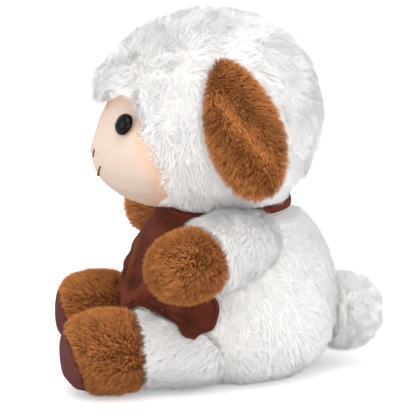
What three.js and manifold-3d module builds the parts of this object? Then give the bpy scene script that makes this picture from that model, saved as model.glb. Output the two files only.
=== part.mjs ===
// Seated plush lamb: a stuffed toy sewn from fur cloth, with a suede bib tied round its neck.
// Millimetres. +Z is up, the lamb faces -Y, its own left side is +X, and the origin lies in its
// middle plane on the flat of the seat. Every cover is an open shell round its own stuffing.

import * as THREE from 'three';
import { mergeVertices } from 'three/addons/utils/BufferGeometryUtils.js';
import Module from 'manifold-3d';

const wasm = await Module();
wasm.setup();

// Cloth and fits
const SEAM_GAP = 0.3;
const FUR_CLOTH = 4;
const WOOL_PILE = 8;
const FACE_CLOTH = 2.5;
const SUEDE = 2;
const FLOOR_FLAT = 0.5;

// Body: an egg that is cut flat for the seat and ends in a short neck collar
const BODY_HALF_WIDTH = 79;
const BODY_HALF_DEPTH = 86;
const BODY_CENTRE_Y = -18;
const BODY_WIDEST_Z = 48;
const BODY_RISE = 105;
const BODY_DROP = 64;
const SHOULDER_TOP_Z = 127;
const COLLAR_RADIUS = 45;
const COLLAR_HEIGHT = 5;
const COLLAR_FOOT = 1;
const NECK_RADIUS = 36;
const POUCH_RADIUS = 44;
const POUCH_HEIGHT = 26;

// Head: a wool hood with an opening that the short-pile face fills
const HEAD_HALF_WIDTH = 88;
const HEAD_HALF_DEPTH = 88;
const HEAD_RISE = 76;
const HEAD_DROP = 104;
const HEAD_CENTRE_LIFT = 72;
const HEAD_FORWARD = 17;
const HEAD_LIFT = 8;
const HEAD_TURN = 25;
const FACE_HALF_WIDTH = 66;
const FACE_HALF_DEPTH = 56;
const FACE_RISE = 55;
const FACE_DROP = 50;
const FACE_FORWARD = 37;
const CHIN_LIFT = 6;
const FACE_TUCK = 14;

// Opening of the hood: distance from the middle and height over the face's centre
const FRINGE_DIP = 34;
const BROW_HALF_WIDTH = 20;
const BROW_HEIGHT = 46;
const TEMPLE_HALF_WIDTH = 54;
const TEMPLE_HEIGHT = 24;
const CHEEK_HALF_WIDTH = 64;
const CHEEK_DROP = 10;
const JOWL_HALF_WIDTH = 40;
const JOWL_DROP = 41;

// Eyes, nose and mouth
const EYE_DIAMETER = 16;
const EYE_DOME = 5.5;
const EYE_STEM_RADIUS = 2;
const EYE_STEM_LENGTH = 8;
const EYE_SPREAD = 46;
const EYE_HEIGHT = 23;
const WASHER_RADIUS = 6;
const WASHER_THICKNESS = 1.5;
const WASHER_STANDOFF = 2;
const THREAD_RADIUS = 0.9;
const NOSTRIL_TOP = [14, -2];
const NOSTRIL_FOOT = [7, -9];
const MOUTH_HALF_WIDTH = 26;
const MOUTH_HEIGHT = -24;
const MOUTH_CURVE = 12;

// Ears: leaf-shaped pads that hang from the upper sides of the head
const EAR_ROOT_RISE = 50;
const EAR_LENGTH = 98;
const EAR_HALF_WIDTH = 29;
const EAR_HALF_THICKNESS = 6;
const EAR_LEAN_BACK = 30;
const EAR_FLARE = 8;
const EAR_TOP_TAPER = 0.3;
const EAR_END_TAPER = 0.94;
const EAR_EDGE = 2;

// Arms: a white sleeve and a brown paw
const SHOULDER_SINK = 5;
const SHOULDER_Z = 121;
const SHOULDER_BACK = 22;
const ARM_AIM = [0.61, -0.78, -0.13];
const SLEEVE_LENGTH = 66;
const SLEEVE_RADIUS = 27;
const PAW_LENGTH = 53;
const PAW_RADIUS = 29;
const STRAP_ROOM = 1.2;

// Legs: a white leg, a brown foot and a suede sole
const HIP_X = 54;
const HIP_BACK = -5;
const LEG_TOE_OUT = 0.055;
const LEG_LENGTH = 72;
const LEG_RADIUS = 30;
const FOOT_LENGTH = 51;
const FOOT_RADIUS = 33;
const SOLE_RADIUS = 28;
const SOLE_BULGE = 12;
const ANKLE_TILT = 6;
const SOLE_TILT = 18;

// How each cover swells along its length: shares of its radius and of its length
const SLEEVE_SWELL = [[0.5, 0.04], [0.8, 0.19], [1, 0.6], [1, 1]];
const PAW_SWELL = [[1, 0.25], [1, 0.53], [0.75, 0.82], [0.4, 0.95]];
const LEG_SWELL = [[0.6, 0.05], [0.92, 0.2], [1, 0.5], [0.95, 1]];
const FOOT_SWELL = [[1, 0.3], [1, 0.65]];
const SOLE_SWELL = [[1, 0], [0.6, 0.75]];

// Tail
const TAIL_RADIUS = 30;
const TAIL_Z = 43;
const TAIL_SINK = 5;

// Bib and its neck strap
const BIB_TOP_HALF_ANGLE = 60;
const BIB_HEM_HALF_ANGLE = 77;
const BIB_FRONT_HEM_Z = 52;
const BIB_LAP_HEM_Z = 66;
const BIB_CORNER_HEM_Z = 46;
const BIB_FOLD_DEPTH = 3;
const BIB_FOLD_COUNT = 5;
const BIB_FLARE_SHARES = [0.45, 0.9];
const LAP_ANGLES = [6, 26];
const THIGH_ANGLES = [41, 47];
const CORNER_ANGLES = [47, 62];
const THIGH_SHARE = 0.6;
const THIGH_STANDOFF = 1.8;
const STRAP_WIDTH = 6;
const STRAP_START_ANGLE = 64;
const STRAP_SLIDE_ANGLE = 20;

// Facets round and along each kind of form, with half as many on the hidden sides
const HEAD_FACETS = [24, 12];
const HEAD_INNER_FACETS = [12, 6];
const FACE_FACETS = [20, 10];
const BODY_FACETS = [24, 8];
const BODY_INNER_FACETS = [12, 4];
const NECK_FACETS = [20, 10];
const LIMB_FACETS = 14;
const LIMB_INNER_FACETS = 7;
const TAIL_FACETS = [16, 8];
const TAIL_INNER_FACETS = [8, 4];
const POUCH_FACETS = [14, 6];
const EYE_FACETS = 12;
const DOME_STEPS = 4;
const OPENING_POINTS = 30;
const THREAD_FACETS = 3;
const STITCH_STEPS = 4;
const HEAD_TURN_STEPS = 5;
const BIB_FACETS = [36, 8];
const STRAP_FACETS = [20, 1];
const EAR_FACETS = [6, 9];

// Places that follow from the sizes above
const collarTopZ = SHOULDER_TOP_Z + COLLAR_HEIGHT;
const neckPivot = new THREE.Vector3(0, BODY_CENTRE_Y, collarTopZ);
const headFloorZ = SHOULDER_TOP_Z + HEAD_LIFT;
const headCentre = new THREE.Vector3(0, BODY_CENTRE_Y - HEAD_FORWARD, headFloorZ + HEAD_CENTRE_LIFT);
const faceCentre = new THREE.Vector3(
  0, headCentre.y - FACE_FORWARD, SHOULDER_TOP_Z + CHIN_LIFT + FACE_DROP);
const BIG = 1000;
const TINY = 1e-3;
const WELD = 1e-4;

const FINISHES = {
  wool: { color: '#f4f1ec', roughness: 0.95, metalness: 0 },
  brownFur: { color: '#a06a3a', roughness: 0.95, metalness: 0 },
  suede: { color: '#5c3128', roughness: 0.85, metalness: 0 },
  faceCloth: { color: '#f6ddc8', roughness: 0.9, metalness: 0 },
  eye: { color: '#141416', roughness: 0.12, metalness: 0 },
  washer: { color: '#d8d8d4', roughness: 0.5, metalness: 0 },
  thread: { color: '#6e3a2e', roughness: 0.8, metalness: 0 },
  fibre: { color: '#fbfbf8', roughness: 1, metalness: 0 },
  pellets: { color: '#e6e2d8', roughness: 0.9, metalness: 0 },
};

const lamb = new THREE.Group();
lamb.name = 'plush_lamb';

// Solids and meshes

function solid(geometry) {
  const bare = geometry.clone();
  bare.deleteAttribute('normal');
  bare.deleteAttribute('uv');
  const merged = mergeVertices(bare, WELD);
  const index = merged.index.array;
  const kept = [];
  for (let i = 0; i < index.length; i += 3) {
    const [a, b, c] = [index[i], index[i + 1], index[i + 2]];
    if (a !== b && b !== c && c !== a) kept.push(a, b, c);
  }
  return new wasm.Manifold(new wasm.Mesh({
    numProp: 3,
    vertProperties: new Float32Array(merged.attributes.position.array),
    triVerts: new Uint32Array(kept),
  }));
}

function geometryOf(manifold) {
  const mesh = manifold.getMesh();
  const geometry = new THREE.BufferGeometry();
  geometry.setAttribute('position', new THREE.BufferAttribute(mesh.vertProperties, 3));
  geometry.setIndex(new THREE.BufferAttribute(mesh.triVerts, 1));
  return geometry;
}

function mirrored(geometry) {
  const other = geometry.clone();
  other.scale(-1, 1, 1);
  const index = other.index.array;
  for (let i = 0; i < index.length; i += 3) {
    [index[i + 1], index[i + 2]] = [index[i + 2], index[i + 1]];
  }
  return other;
}

function addPiece(name, geometry, finish) {
  const shaded = geometry.clone();
  shaded.computeVertexNormals();
  const mesh = new THREE.Mesh(shaded, new THREE.MeshStandardMaterial(FINISHES[finish]));
  mesh.name = name;
  lamb.add(mesh);
}

function addPair(name, manifold, finish) {
  const geometry = geometryOf(manifold);
  addPiece(`left_${name}`, geometry, finish);
  addPiece(`right_${name}`, mirrored(geometry), finish);
}

function block(low, high) {
  const size = new THREE.Vector3().subVectors(high, low);
  const middle = new THREE.Vector3().addVectors(low, high).multiplyScalar(0.5);
  const box = new THREE.BoxGeometry(size.x, size.y, size.z);
  box.translate(middle.x, middle.y, middle.z);
  return solid(box);
}

function inFrontOf(y) {
  return block(new THREE.Vector3(-BIG, -BIG, -BIG), new THREE.Vector3(BIG, y, BIG));
}

function under(z) {
  return block(new THREE.Vector3(-BIG, -BIG, -BIG), new THREE.Vector3(BIG, BIG, z));
}

// An egg with its own half-heights above and below the centre, made smaller by inset
function egg(centre, [halfWidth, halfDepth, rise, drop], [around, down], inset = 0) {
  const geometry = new THREE.SphereGeometry(1, around, down);
  geometry.rotateX(Math.PI / 2);
  const position = geometry.attributes.position;
  for (let i = 0; i < position.count; i += 1) {
    const z = position.getZ(i);
    position.setXYZ(
      i,
      centre.x + position.getX(i) * (halfWidth - inset),
      centre.y + position.getY(i) * (halfDepth - inset),
      centre.z + z * ((z > 0 ? rise : drop) - inset));
  }
  return solid(geometry);
}

function ball(centre, radius, facets) {
  return egg(centre, [radius, radius, radius, radius], facets);
}

// A profile of (radius, distance) points, drawn in towards its own axis by inset
function insetProfile(points, inset) {
  return points.map((point, i) => {
    const before = points[Math.max(i - 1, 0)];
    const after = points[Math.min(i + 1, points.length - 1)];
    if (i === 0) return new THREE.Vector2(0, point.y + inset);
    if (i === points.length - 1) return new THREE.Vector2(0, point.y - inset);
    const along = new THREE.Vector2().subVectors(after, before).normalize();
    return new THREE.Vector2(point.x - along.y * inset, point.y + along.x * inset);
  });
}

// Profile points of one cover of a limb
function swelled(shares, radius, from, length) {
  return shares.map(([wide, far]) => new THREE.Vector2(radius * wide, from + length * far));
}

// A stuffed limb: the profile turned about a line from start along aim
function limb(start, aim, points, inset = 0) {
  const facets = inset > 0 ? LIMB_INNER_FACETS : LIMB_FACETS;
  const lathe = new THREE.LatheGeometry(insetProfile(points, inset), facets);
  const turn = new THREE.Quaternion().setFromUnitVectors(new THREE.Vector3(0, 1, 0), aim);
  lathe.applyQuaternion(turn);
  lathe.translate(start.x, start.y, start.z);
  return solid(lathe);
}

// A half-space on the far side of a plane across a limb, with its lower edge tilted back
function beyond(start, aim, distance, tilt = 0) {
  const box = new THREE.BoxGeometry(BIG, BIG, BIG);
  box.translate(0, BIG / 2, 0);
  const drop = Math.tan(THREE.MathUtils.degToRad(tilt));
  const facing = new THREE.Vector3(aim.x, aim.y, aim.z - drop).normalize();
  box.applyQuaternion(new THREE.Quaternion().setFromUnitVectors(new THREE.Vector3(0, 1, 0), facing));
  const at = start.clone().addScaledVector(aim, distance);
  box.translate(at.x, at.y, at.z);
  return solid(box);
}

// A closed sheet of cloth over a surface given on the unit square, with a thickness at each place
function cloth(surface, [columns, rows], thickness) {
  const inner = [];
  const outer = [];
  for (let row = 0; row <= rows; row += 1) {
    for (let column = 0; column <= columns; column += 1) {
      const u = column / columns;
      const v = row / rows;
      const at = surface(u, v);
      const alongU = surface(u + TINY, v).sub(surface(u - TINY, v));
      const alongV = surface(u, v + TINY).sub(surface(u, v - TINY));
      const normal = alongV.cross(alongU).normalize();
      inner.push(at);
      outer.push(at.clone().addScaledVector(normal, thickness(u, v)));
    }
  }
  const corners = [...inner, ...outer];
  const side = inner.length;
  const width = columns + 1;
  const index = [];
  const quad = (a, b, c, d) => index.push(a, b, c, a, c, d);
  for (let row = 0; row < rows; row += 1) {
    for (let column = 0; column < columns; column += 1) {
      const a = row * width + column;
      quad(a, a + 1, a + width + 1, a + width);
      quad(side + a, side + a + width, side + a + width + 1, side + a + 1);
    }
  }
  for (let column = 0; column < columns; column += 1) {
    const low = rows * width + column;
    quad(column, side + column, side + column + 1, column + 1);
    quad(low, low + 1, side + low + 1, side + low);
  }
  for (let row = 0; row < rows; row += 1) {
    const left = row * width;
    const right = left + columns;
    quad(left, left + width, side + left + width, side + left);
    quad(right, side + right, side + right + width, right + width);
  }
  const geometry = new THREE.BufferGeometry();
  geometry.setAttribute(
    'position', new THREE.Float32BufferAttribute(corners.flatMap((p) => [p.x, p.y, p.z]), 3));
  geometry.setIndex(index);
  return solid(geometry);
}

function easeStep([from, to], value) {
  return THREE.MathUtils.smoothstep(value, from, to);
}

// Body shell, its fibre filling and the pellet pouch in the seat

function bodySwell(z) {
  const reach = z > BODY_WIDEST_Z ? BODY_RISE : BODY_DROP;
  return Math.sqrt(1 - ((z - BODY_WIDEST_Z) / reach) ** 2);
}

function bodyPoint(angle, z, standoff) {
  const swell = bodySwell(z);
  return new THREE.Vector3(
    (BODY_HALF_WIDTH * swell + standoff) * Math.sin(angle),
    BODY_CENTRE_Y - (BODY_HALF_DEPTH * swell + standoff) * Math.cos(angle),
    z);
}

function bodyForm(inset) {
  const low = Math.max(inset, 0);
  const top = SHOULDER_TOP_Z - inset;
  const [around, rings] = inset > 0 ? BODY_INNER_FACETS : BODY_FACETS;
  const points = [new THREE.Vector2(0, low)];
  for (let i = 0; i <= rings; i += 1) {
    const z = low + (top - low) * (i / rings);
    const inside = THREE.MathUtils.clamp(z, 0, SHOULDER_TOP_Z);
    points.push(new THREE.Vector2(bodySwell(inside) - inset / BODY_HALF_DEPTH, z));
  }
  const collar = (COLLAR_RADIUS - inset) / BODY_HALF_DEPTH;
  points.push(new THREE.Vector2(collar, top + COLLAR_FOOT));
  points.push(new THREE.Vector2(collar, collarTopZ - inset));
  points.push(new THREE.Vector2(0, collarTopZ - inset));
  const lathe = new THREE.LatheGeometry(points, around);
  lathe.rotateX(Math.PI / 2);
  lathe.scale(BODY_HALF_WIDTH, BODY_HALF_DEPTH, 1);
  lathe.translate(0, BODY_CENTRE_Y, 0);
  return solid(lathe);
}

const neckRoom = neckSocket();
const besideBody = bodyForm(-SEAM_GAP);

// A faceted socket that the neck's wad turns in, half a facet out of step with the wad
function neckSocket() {
  const [around, down] = NECK_FACETS;
  const halfStep = Math.PI / around;
  const radius = (NECK_RADIUS + SEAM_GAP) / (Math.cos(halfStep) * Math.cos(Math.PI / (2 * down)));
  const geometry = geometryOf(ball(new THREE.Vector3(), radius, NECK_FACETS));
  geometry.rotateZ(halfStep);
  geometry.translate(neckPivot.x, neckPivot.y, neckPivot.z);
  return solid(geometry);
}

function pouchForm(grow) {
  const centre = new THREE.Vector3(0, BODY_CENTRE_Y, FUR_CLOTH + SEAM_GAP + POUCH_HEIGHT / 2);
  const half = POUCH_HEIGHT / 2;
  return egg(centre, [POUCH_RADIUS, POUCH_RADIUS, half, half], POUCH_FACETS, -grow);
}

function buildBody() {
  const shell = bodyForm(0).subtract(bodyForm(FUR_CLOTH)).subtract(neckRoom);
  addPiece('body_shell', geometryOf(shell), 'wool');
  const filling = bodyForm(FUR_CLOTH + SEAM_GAP).subtract(neckRoom).subtract(pouchForm(SEAM_GAP));
  addPiece('body_stuffing', geometryOf(filling), 'fibre');
  addPiece('pellet_pouch', geometryOf(pouchForm(0)), 'pellets');
  addPiece('neck_stuffing', geometryOf(ball(neckPivot, NECK_RADIUS, NECK_FACETS)), 'fibre');
}

// Head: hood, face, filling, eyes and embroidered features

const headHalves = [HEAD_HALF_WIDTH, HEAD_HALF_DEPTH, HEAD_RISE, HEAD_DROP];
const faceHalves = [FACE_HALF_WIDTH, FACE_HALF_DEPTH, FACE_RISE, FACE_DROP];

function headForm(inset) {
  const facets = inset > 0 ? HEAD_INNER_FACETS : HEAD_FACETS;
  return egg(headCentre, headHalves, facets, inset).subtract(under(headFloorZ + inset));
}

function faceForm(inset) {
  return egg(faceCentre, faceHalves, FACE_FACETS, inset);
}

// The point of the face's surface at a distance from the middle and a height over its centre
function onFace(x, height, standoff = 0) {
  const tall = height > 0 ? FACE_RISE : FACE_DROP;
  const share = 1 - (x / FACE_HALF_WIDTH) ** 2 - (height / tall) ** 2;
  const y = -FACE_HALF_DEPTH * Math.sqrt(share);
  const normal = new THREE.Vector3(
    x / FACE_HALF_WIDTH ** 2, y / FACE_HALF_DEPTH ** 2, height / tall ** 2).normalize();
  const at = new THREE.Vector3(x, y, height).add(faceCentre).addScaledVector(normal, standoff);
  return { at, normal };
}

function faceOpening() {
  const rightSide = [
    [0, FRINGE_DIP],
    [BROW_HALF_WIDTH, BROW_HEIGHT],
    [TEMPLE_HALF_WIDTH, TEMPLE_HEIGHT],
    [CHEEK_HALF_WIDTH, -CHEEK_DROP],
    [JOWL_HALF_WIDTH, -JOWL_DROP],
    [0, -FACE_DROP - WOOL_PILE],
  ];
  const leftSide = rightSide.slice(1, -1).reverse().map(([x, z]) => [-x, z]);
  const outline = [...rightSide, ...leftSide].map(([x, z]) => new THREE.Vector3(x, z, 0));
  const curve = new THREE.CatmullRomCurve3(outline, true, 'centripetal');
  const rim = curve.getPoints(OPENING_POINTS).slice(0, -1);
  const shape = new THREE.Shape(rim.map((p) => new THREE.Vector2(p.x, p.y)));
  const prism = new THREE.ExtrudeGeometry(shape, { depth: HEAD_HALF_DEPTH, bevelEnabled: false });
  prism.rotateX(Math.PI / 2);
  prism.translate(0, faceCentre.y, faceCentre.z);
  return solid(prism);
}

const faceBackY = faceCentre.y + FACE_TUCK;
const eyeSeat = onFace(EYE_SPREAD, EYE_HEIGHT, SEAM_GAP);

// A turned piece whose axis points out of the face at the eye
function atEye(points) {
  const lathe = new THREE.LatheGeometry(points.map(([r, d]) => new THREE.Vector2(r, d)), EYE_FACETS);
  lathe.applyQuaternion(
    new THREE.Quaternion().setFromUnitVectors(new THREE.Vector3(0, 1, 0), eyeSeat.normal));
  lathe.translate(eyeSeat.at.x, eyeSeat.at.y, eyeSeat.at.z);
  return solid(lathe);
}

function eyeForm() {
  const rim = EYE_DIAMETER / 2;
  const dome = Array.from({ length: DOME_STEPS }, (_, step) => {
    const angle = (step / DOME_STEPS) * (Math.PI / 2);
    return [rim * Math.cos(angle), EYE_DOME * Math.sin(angle)];
  });
  const stem = [[0, -EYE_STEM_LENGTH], [EYE_STEM_RADIUS, -EYE_STEM_LENGTH], [EYE_STEM_RADIUS, 0]];
  return atEye([...stem, ...dome, [0, EYE_DOME]]);
}

function stemRoom() {
  const radius = EYE_STEM_RADIUS + SEAM_GAP;
  const end = EYE_STEM_LENGTH + SEAM_GAP;
  return atEye([[0, -end], [radius, -end], [radius, EYE_DOME], [0, EYE_DOME]]);
}

// Room that the wool leaves round the eye
function eyeRoom() {
  const radius = EYE_DIAMETER / 2 + 2 * SEAM_GAP;
  return atEye([[0, -SEAM_GAP], [radius, -SEAM_GAP], [radius, HEAD_HALF_DEPTH], [0, HEAD_HALF_DEPTH]]);
}

function washerForm(grow) {
  const near = -FACE_CLOTH - WASHER_STANDOFF;
  const far = near - WASHER_THICKNESS - grow;
  const hole = EYE_STEM_RADIUS + SEAM_GAP - grow;
  const rim = WASHER_RADIUS + grow;
  return atEye([[hole, far], [rim, far], [rim, near + grow], [hole, near + grow], [hole, far]]);
}

function mirroredSolid(manifold) {
  return solid(mirrored(geometryOf(manifold)));
}

// A row of thread, half sunk in the face's pile, through the given places
function stitch(places) {
  const points = places.map(([x, height]) => onFace(x, height).at);
  const path = new THREE.CatmullRomCurve3(points);
  const section = new THREE.Shape();
  section.absarc(0, 0, THREAD_RADIUS, 0, 2 * Math.PI);
  const thread = solid(new THREE.ExtrudeGeometry(section, {
    steps: STITCH_STEPS * places.length,
    curveSegments: THREAD_FACETS,
    bevelEnabled: false,
    extrudePath: path,
  }));
  return thread.subtract(faceForm(-SEAM_GAP));
}

function buildHead() {
  const bothEyeRooms = eyeRoom().add(mirroredSolid(eyeRoom()));
  const hood = headForm(0)
    .subtract(headForm(WOOL_PILE))
    .subtract(faceOpening())
    .subtract(faceForm(-SEAM_GAP))
    .subtract(bothEyeRooms)
    .subtract(neckRoom);
  addPiece('head_hood', geometryOf(hood), 'wool');

  const bothStems = stemRoom().add(mirroredSolid(stemRoom()));
  const face = faceForm(0)
    .subtract(faceForm(FACE_CLOTH))
    .intersect(inFrontOf(faceBackY))
    .subtract(bothStems);
  addPiece('face_panel', geometryOf(face), 'faceCloth');

  const washerRoom = washerForm(SEAM_GAP).add(mirroredSolid(washerForm(SEAM_GAP)));
  const behindFace = faceForm(-SEAM_GAP).intersect(inFrontOf(faceBackY + SEAM_GAP));
  const inFace = faceForm(FACE_CLOTH + SEAM_GAP).intersect(inFrontOf(faceBackY + FUR_CLOTH));
  const filling = headForm(WOOL_PILE + SEAM_GAP)
    .subtract(behindFace)
    .subtract(bothEyeRooms)
    .add(inFace)
    .subtract(neckRoom)
    .subtract(bothStems)
    .subtract(washerRoom);
  addPiece('head_stuffing', geometryOf(filling), 'fibre');

  addPair('eye', eyeForm(), 'eye');
  addPair('eye_washer', washerForm(0), 'washer');
  addPair('nostril_stitch', stitch([NOSTRIL_TOP, NOSTRIL_FOOT]), 'thread');
  const mouth = [-1, -0.5, 0, 0.5, 1].map(
    (share) => [share * MOUTH_HALF_WIDTH, MOUTH_HEIGHT + MOUTH_CURVE * share * share]);
  addPiece('mouth_stitch', geometryOf(stitch(mouth)), 'thread');
}

// Ears: two leaf-shaped layers on a line that follows the head and then hangs straight

// How far out the upper half of the head reaches at a height
function headSide(z) {
  return HEAD_HALF_WIDTH * Math.sqrt(1 - ((z - headCentre.z) / HEAD_RISE) ** 2);
}

const earRootZ = headCentre.z + EAR_ROOT_RISE;
const earStandoff = EAR_HALF_THICKNESS + SEAM_GAP;

function earSpine(share) {
  const y = headCentre.y + EAR_LEAN_BACK * share;
  const z = earRootZ - EAR_LENGTH * share;
  const hang = Math.max(headCentre.z - z, 0) / EAR_LENGTH;
  const x = headSide(Math.max(z, headCentre.z)) + earStandoff + EAR_FLARE * hang;
  return new THREE.Vector3(x, y, z);
}

// The middle of the ear's thickness, lifted outwards by lift
function earMiddle(u, v, lift) {
  const across = new THREE.Vector3(0, EAR_LENGTH, EAR_LEAN_BACK).normalize();
  const along = earSpine(v + TINY).sub(earSpine(v - TINY)).normalize();
  const out = new THREE.Vector3().crossVectors(along, across).normalize();
  const taper = 1 - EAR_TOP_TAPER * (1 - v) ** 2;
  const width = EAR_HALF_WIDTH * taper * Math.sqrt(1 - EAR_END_TAPER * (2 * v - 1) ** 2);
  return earSpine(v).addScaledVector(across, (2 * u - 1) * width).addScaledVector(out, lift);
}

function earThickness(u, v) {
  const plump = (1 - (2 * u - 1) ** 2) * (1 - (2 * v - 1) ** 4);
  return EAR_EDGE + (EAR_HALF_THICKNESS - EAR_EDGE) * Math.sqrt(Math.max(plump, 0));
}

function buildEars() {
  const apart = SEAM_GAP / 2;
  const back = cloth((u, v) => earMiddle(u, v, apart), EAR_FACETS, earThickness);
  const lining = cloth((u, v) => earMiddle(1 - u, v, -apart), EAR_FACETS, earThickness)
    .subtract(headForm(-SEAM_GAP));
  addPair('ear_back', back, 'brownFur');
  addPair('ear_lining', lining, 'brownFur');
}

// Arms

const armAim = new THREE.Vector3(...ARM_AIM).normalize();
const armStart = new THREE.Vector3(
  BODY_HALF_WIDTH * bodySwell(SHOULDER_Z) - SHOULDER_SINK, BODY_CENTRE_Y + SHOULDER_BACK, SHOULDER_Z);

function armProfile() {
  return [
    new THREE.Vector2(0, 0),
    ...swelled(SLEEVE_SWELL, SLEEVE_RADIUS, 0, SLEEVE_LENGTH),
    ...swelled(PAW_SWELL, PAW_RADIUS, SLEEVE_LENGTH, PAW_LENGTH),
    new THREE.Vector2(0, SLEEVE_LENGTH + PAW_LENGTH),
  ];
}

// Room that the collar and its strap need beside the shoulders
function collarRoom() {
  const radius = COLLAR_RADIUS + SUEDE + STRAP_ROOM;
  const post = new THREE.CylinderGeometry(radius, radius, BIG, BODY_FACETS[0]);
  post.rotateX(Math.PI / 2);
  post.translate(0, BODY_CENTRE_Y, BIG / 2 + SHOULDER_TOP_Z - FUR_CLOTH);
  return solid(post);
}

// Room over the shoulders for the head at rest and turned to both sides
function headRoom() {
  const turns = Array.from({ length: HEAD_TURN_STEPS }, (_, step) => {
    const share = 2 * step / (HEAD_TURN_STEPS - 1) - 1;
    const turned = geometryOf(headForm(-SEAM_GAP));
    turned.translate(0, -BODY_CENTRE_Y, 0);
    turned.rotateZ(THREE.MathUtils.degToRad(share * HEAD_TURN));
    turned.translate(0, BODY_CENTRE_Y, 0);
    return solid(turned);
  });
  return turns.reduce((room, head) => room.add(head));
}

function buildArms() {
  const profile = armProfile();
  const besideNeck = besideBody.add(collarRoom()).add(headRoom());
  const cover = limb(armStart, armAim, profile)
    .subtract(limb(armStart, armAim, profile, FUR_CLOTH))
    .subtract(besideNeck);
  const pastWrist = beyond(armStart, armAim, SLEEVE_LENGTH);
  const pastSeam = beyond(armStart, armAim, SLEEVE_LENGTH + SEAM_GAP);
  addPair('sleeve', cover.subtract(pastWrist), 'wool');
  addPair('paw', cover.intersect(pastSeam), 'brownFur');
  const filling = limb(armStart, armAim, profile, FUR_CLOTH + SEAM_GAP).subtract(besideNeck);
  addPair('arm_stuffing', filling, 'fibre');
}

// Legs

const legAim = new THREE.Vector3(LEG_TOE_OUT, -1, 0).normalize();
const legAxisZ = FOOT_RADIUS - FLOOR_FLAT;
const legStart = new THREE.Vector3(HIP_X, BODY_CENTRE_Y + HIP_BACK, legAxisZ);
const soleDistance = LEG_LENGTH + FOOT_LENGTH;

function legProfile() {
  return [
    new THREE.Vector2(0, 0),
    ...swelled(LEG_SWELL, LEG_RADIUS, 0, LEG_LENGTH),
    ...swelled(FOOT_SWELL, FOOT_RADIUS, LEG_LENGTH, FOOT_LENGTH),
    ...swelled(SOLE_SWELL, SOLE_RADIUS, soleDistance, SOLE_BULGE),
    new THREE.Vector2(0, soleDistance + SOLE_BULGE),
  ];
}

function buildLegs() {
  const profile = legProfile();
  const outside = limb(legStart, legAim, profile).subtract(besideBody).subtract(under(0));
  const cover = outside.subtract(limb(legStart, legAim, profile, FUR_CLOTH));
  const pastAnkle = beyond(legStart, legAim, LEG_LENGTH, ANKLE_TILT);
  const pastAnkleSeam = beyond(legStart, legAim, LEG_LENGTH + SEAM_GAP, ANKLE_TILT);
  const pastRim = beyond(legStart, legAim, soleDistance, SOLE_TILT);
  const pastRimSeam = beyond(legStart, legAim, soleDistance + SEAM_GAP, SOLE_TILT);
  addPair('leg', cover.subtract(pastAnkle), 'wool');
  addPair('foot', cover.intersect(pastAnkleSeam).subtract(pastRim), 'brownFur');
  addPair('sole', cover.intersect(pastRimSeam), 'suede');
  const filling = limb(legStart, legAim, profile, FUR_CLOTH + SEAM_GAP).subtract(besideBody);
  addPair('leg_stuffing', filling, 'fibre');
}

// Tail: a pompom with a flat seam against the back

function buildTail() {
  const backY = BODY_CENTRE_Y + BODY_HALF_DEPTH * bodySwell(TAIL_Z) + SEAM_GAP;
  const centre = new THREE.Vector3(0, backY + TAIL_SINK, TAIL_Z);
  const ofBody = inFrontOf(backY);
  const cover = ball(centre, TAIL_RADIUS, TAIL_FACETS)
    .subtract(ball(centre, TAIL_RADIUS - FUR_CLOTH, TAIL_INNER_FACETS))
    .subtract(ofBody);
  addPiece('tail_pompom', geometryOf(cover), 'wool');
  const filling = ball(centre, TAIL_RADIUS - FUR_CLOTH - SEAM_GAP, TAIL_INNER_FACETS).subtract(ofBody);
  addPiece('tail_stuffing', geometryOf(filling), 'fibre');
}

// Bib: a suede apron over the chest and the thighs, held by a strap round the collar

const legTopZ = legAxisZ + LEG_RADIUS;
const bibStandoff = 2 * SEAM_GAP;

function bibHem(degrees) {
  const ontoLap = easeStep(LAP_ANGLES, degrees);
  const offLap = easeStep(CORNER_ANGLES, degrees);
  const lap = THREE.MathUtils.lerp(BIB_FRONT_HEM_Z, BIB_LAP_HEM_Z, ontoLap);
  return THREE.MathUtils.lerp(lap, BIB_CORNER_HEM_Z, offLap);
}

// How far out the thigh reaches at a height, so that the bib's corner hangs outside it
function thighSide(z) {
  const rise = (z - legAxisZ) / LEG_RADIUS;
  if (Math.abs(rise) >= 1) return 0;
  const middle = HIP_X + THIGH_SHARE * LEG_LENGTH * LEG_TOE_OUT;
  return middle + LEG_RADIUS * Math.sqrt(1 - rise * rise) + THIGH_STANDOFF;
}

function bibSurface(u, v) {
  const side = 2 * u - 1;
  const flare = easeStep(BIB_FLARE_SHARES, v);
  const spread = THREE.MathUtils.lerp(BIB_TOP_HALF_ANGLE, BIB_HEM_HALF_ANGLE, flare);
  const degrees = side * spread;
  const top = SHOULDER_TOP_Z - SEAM_GAP;
  const z = THREE.MathUtils.lerp(top, bibHem(Math.abs(degrees)), v);
  const angle = THREE.MathUtils.degToRad(degrees);
  const fold = BIB_FOLD_DEPTH * v * v * (1 + Math.cos(BIB_FOLD_COUNT * 2 * angle)) / 2;
  const at = bodyPoint(angle, z, bibStandoff + fold);
  const outside = thighSide(z);
  const beside = easeStep(THIGH_ANGLES, Math.abs(degrees));
  if (z < legTopZ && outside > Math.abs(at.x)) {
    at.x = THREE.MathUtils.lerp(at.x, Math.sign(side) * outside, beside);
  }
  return at;
}

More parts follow.
